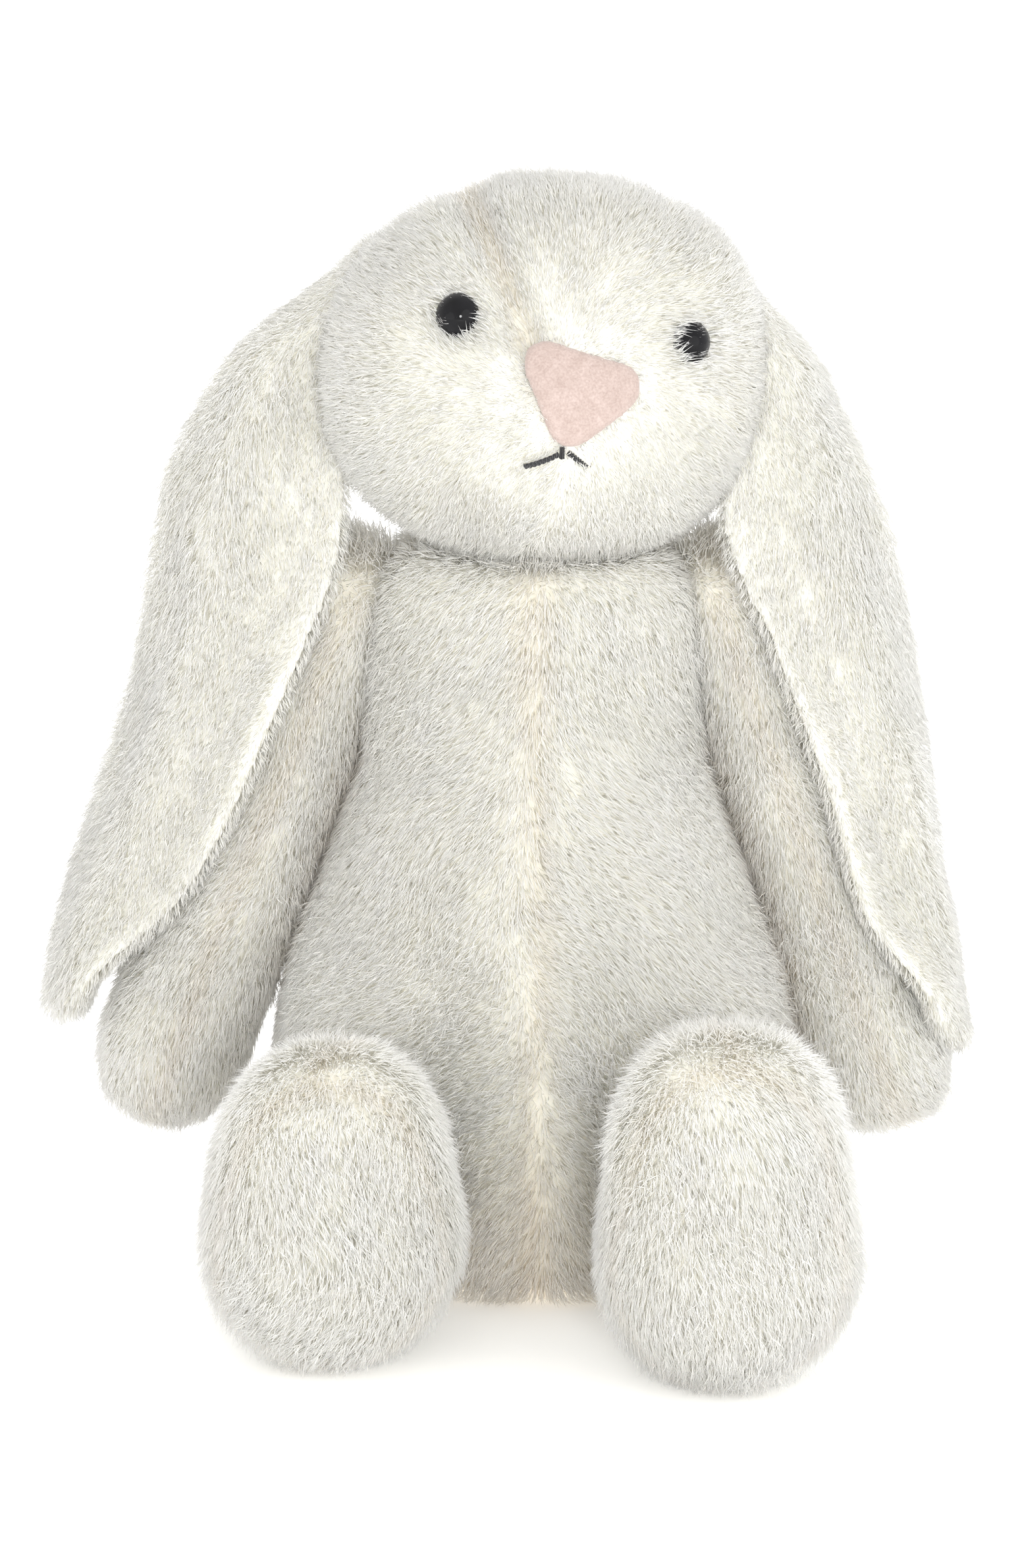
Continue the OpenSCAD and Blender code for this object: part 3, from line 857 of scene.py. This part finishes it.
def grow_arm(skin, side):
    """Hair from the shoulder to the paw, longer and standing up on top of the shoulder."""
    panels = panels_of("arm", side)
    seam = press_seams(skin, panels, 0.6 * MM, 2.2 * MM)[0]
    torso = [p for p in TORSO_PANELS if side in p]
    crevice_shade = bell(distances(points_of(skin.data), torso), 4 * MM)
    # Painted shade: warmer and darker in the crevice against the torso, on top of the backing at the seams.
    mark_backing_and_shade(skin, BODY_WARMTH + 0.2 * bell(seam, 1.5 * MM) + 0.8 * crevice_shade)
    points = points_of(skin.data)
    shoulder = joint_place(f"{side}_arm_swing")
    axis = unit(middle_of(*panels) - shoulder)
    flow = np.tile(axis, (len(points), 1))
    facing_up = smooth_step(1.5 * normals_of(skin.data)[:, 2])
    tuft = smooth_step((points[:, 2] - shoulder[2]) / (10 * MM)) * facing_up
    flow[:, 2] += 1.1 * tuft
    length, fluff = PILE["arm"]
    pelt = Pelt(skin, flow, length + 2.5 * MM * tuft, fluff, seed=13 + SIDES.index(side))
    pelt.grow(f"{side}_arm_hair", f"{side}_arm")


def grow_leg(skin, side):
    """Hair over the foot, forwards and down from the ankle."""
    panels = panels_of("leg", side)
    seam = press_seams(skin, panels, 0.4 * MM, 2.2 * MM)[0]
    mark_backing_and_shade(skin, 0.25 * bell(seam, 1.5 * MM))
    points = points_of(skin.data)
    low, high = node_points(*panels).min(0), node_points(*panels).max(0)
    ankle = np.array([(low[0] + high[0]) / 2, high[1], high[2]])
    flow = unit(points - ankle) + np.array([0, 0, -0.5])
    pelt = Pelt(skin, flow, *PILE["leg"], seed=15 + SIDES.index(side))
    pelt.grow(f"{side}_leg_hair", f"{side}_leg")


def grow_ear(skin, side):
    """Hair down the ear, shorter inside."""
    panels = panels_of("ear", side)
    points = points_of(skin.data)
    outer = distances(points, panels[:1])
    inner = distances(points, panels[1:])
    inside = smooth_step(0.5 + (outer - inner) / (2 * MM))
    flow = np.tile([0, 0, -1.0], (len(points), 1))
    length, fluff = PILE["ear"]
    pelt = Pelt(skin, flow, length - 2 * MM * inside, fluff, seed=17 + SIDES.index(side))
    pelt.grow(f"{side}_ear_hair", f"{side}_ear")


def grow_tail(skin):
    """Loose hair that stands out all round the tail."""
    points = points_of(skin.data)
    flow = 0.5 * unit(points - joint_place("tail_wag")) + np.array([0, 0, -0.4])
    Pelt(skin, flow, *PILE["tail"], seed=19).grow("tail_hair", "tail")


def grow_neck(skin):
    """Short hair on the neck, which shows only when the head turns."""
    flow = np.tile([0, 0, -1.0], (len(skin.data.vertices), 1))
    Pelt(skin, flow, *PILE["neck"], seed=20).grow("neck_hair", "neck")


def make_nose():
    """A soft raised suede patch, rounded over at its edge."""
    nose = make_skin("nose", ["nose_patch"], NOSE_VOXEL, 4, NOSE_INSET)
    subdivide(nose)
    nose.data.shade_smooth()
    paint(nose, suede_material())
    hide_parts("nose_patch")
    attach(nose, "head")
    return BVHTree.FromPolygons([v.co for v in nose.data.vertices], [f.vertices for f in nose.data.polygons])


def node_shells(name):
    """The points of each separate solid of a CAD node."""
    mesh = nodes[name].data
    points = points_of(mesh)
    label = np.arange(len(points))
    keys = {}
    for i, p in enumerate(np.round(points / (0.01 * MM)).astype(int)):
        label[i] = keys.setdefault(tuple(p), i)
    pairs = np.array([(e.vertices[0], e.vertices[1]) for e in mesh.edges])
    pairs = np.vstack([pairs, np.stack([np.arange(len(points)), label], 1)])
    label = spread_labels(label, pairs)
    return [points[label == k] for k in np.unique(label)]


def make_thread(name, stitches, radius, material, body, node):
    """Yarn laid along each stitch of a CAD node: three plies twisted round one another."""
    vertices, faces = [], []
    rings, sides, plies = 25, 8, 3
    ply_radius = radius * 0.55
    turns = 2.5
    for points, out, lift in stitches:
        centre = (points.min(0) + points.max(0)) / 2
        axis = np.linalg.svd(points - centre)[2][0]
        reach = np.abs((points - centre) @ axis).max()
        across = unit(np.cross(axis, out))
        for ply in range(plies):
            first = len(vertices)
            for i in range(rings):
                t = i / (rings - 1)
                dive = math.cos(math.pi * (t - 0.5)) ** 0.5 if 0 < t < 1 else 0
                base = centre + axis * reach * (2 * t - 1) + out * (lift * dive - 0.8 * radius)
                angle = 2 * math.pi * (turns * t + ply / plies)
                middle = base + (across * math.cos(angle) + out * math.sin(angle)) * ply_radius
                for k in range(sides):
                    a = 2 * math.pi * k / sides
                    vertices.append(middle + (across * math.cos(a) + out * math.sin(a)) * ply_radius)
            for i in range(rings - 1):
                for k in range(sides):
                    a, b = first + i * sides + k, first + i * sides + (k + 1) % sides
                    faces.append((a, b, b + sides, a + sides))
            faces.append(tuple(first + k for k in reversed(range(sides))))
            faces.append(tuple(first + (rings - 1) * sides + k for k in range(sides)))
    thread = new_piece(name, vertices, faces)
    thread.data.shade_smooth()
    paint(thread, material)
    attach(thread, body)
    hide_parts(node)


def make_mouth():
    """A slanted stitch and a short upright one, which meet, and a third that the pile covers."""
    muzzle = (middle_of("nose_patch") + middle_of("mouth_stitches")) / 2
    centre = muzzle + 0.6 * (middle_of("head_stuffing") - muzzle)
    pair, covered = sorted(node_shells("mouth_stitches"), key=lambda shell: shell[:, 0].mean())
    upright = pair[:, 0] > pair[:, 0].max() - 1.1 * MM
    stitches = []
    for shell, sink, lift in ((pair[~upright], 0, 0.6), (pair[upright], 0, 0.2), (covered, 1.8, 0)):
        out = unit(shell.mean(0) - centre)
        stitches.append((shell - sink * MM * out, out, lift * MM))
    black = thread_material("mouth_thread", (0.01, 0.01, 0.012), (0.06, 0.06, 0.065))
    make_thread("mouth", stitches, 0.5 * MM, black, "head", "mouth_stitches")


def make_label():
    """A blank satin label folded double, with a soft wave."""
    low, high = (np.array(c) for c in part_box("care_label"))
    steps_y, steps_z = 24, 16
    half = (high[0] - low[0]) / 2
    middle_x = (high[0] + low[0]) / 2
    vertices, faces = [], []
    for side in (-1, 1):
        for i in range(steps_y + 1):
            for k in range(steps_z + 1):
                t, u = i / steps_y, k / steps_z
                wave = 0.9 * MM * math.sin(5 * t + 2 * u) * t
                open_up = half * (1 - t ** 6)
                vertices.append((middle_x + side * open_up * 0.9 + wave,
                                 low[1] + t * (high[1] - low[1]), low[2] + u * (high[2] - low[2])))
    row = steps_z + 1
    sheet = row * (steps_y + 1)
    for side in (0, 1):
        for i in range(steps_y):
            for k in range(steps_z):
                a = side * sheet + i * row + k
                quad = (a, a + 1, a + row + 1, a + row)
                faces.append(quad if side else quad[::-1])
    rim = list(range(row)) + [i * row + steps_z for i in range(1, steps_y + 1)]
    rim += [steps_y * row + k for k in reversed(range(steps_z))]
    rim += [i * row for i in reversed(range(1, steps_y))]
    for a, b in zip(rim, rim[1:] + rim[:1]):
        faces.append((a, b, b + sheet, a + sheet)[::-1])
    label = new_piece("label", vertices, faces)
    label.data.shade_smooth()
    paint(label, cloth_material("label_satin", (0.80, 0.80, 0.79), (0.90, 0.90, 0.89), 1800))
    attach(label, "torso")
    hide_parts("care_label")


def finish_cad_nodes():
    """Materials of the CAD parts that stay."""
    finishes = {
        "left_eye": eye_material(),
        "left_eye_washer": plastic_material("washer_plastic", (0.80, 0.80, 0.77), (0.86, 0.86, 0.84), 400),
        "bean_bag": cloth_material("bag_cotton", (0.62, 0.58, 0.50), (0.78, 0.74, 0.66), 1200),
        "seat_beans": plastic_material("bean_plastic", (0.68, 0.68, 0.66), (0.84, 0.84, 0.82), 350),
        "neck_seam_thread": thread_material("seam_thread", (0.66, 0.62, 0.54), (0.85, 0.82, 0.76)),
    }
    finishes["right_eye"] = finishes["left_eye"]
    finishes["right_eye_washer"] = finishes["left_eye_washer"]
    finishes["back_closing_stitches"] = finishes["neck_seam_thread"]
    for name, material in finishes.items():
        paint(nodes[name], material)


aim = place_camera()
make_studio(aim)
skins = make_skins()
grow_head(skins["head_skin"], make_nose())
grow_torso(skins["torso_skin"])
for side in SIDES:
    grow_arm(skins[f"{side}_arm_skin"], side)
    grow_leg(skins[f"{side}_leg_skin"], side)
    grow_ear(skins[f"{side}_ear_skin"], side)
grow_tail(skins["tail_skin"])
grow_neck(skins["neck_skin"])
make_mouth()
make_label()
finish_cad_nodes()
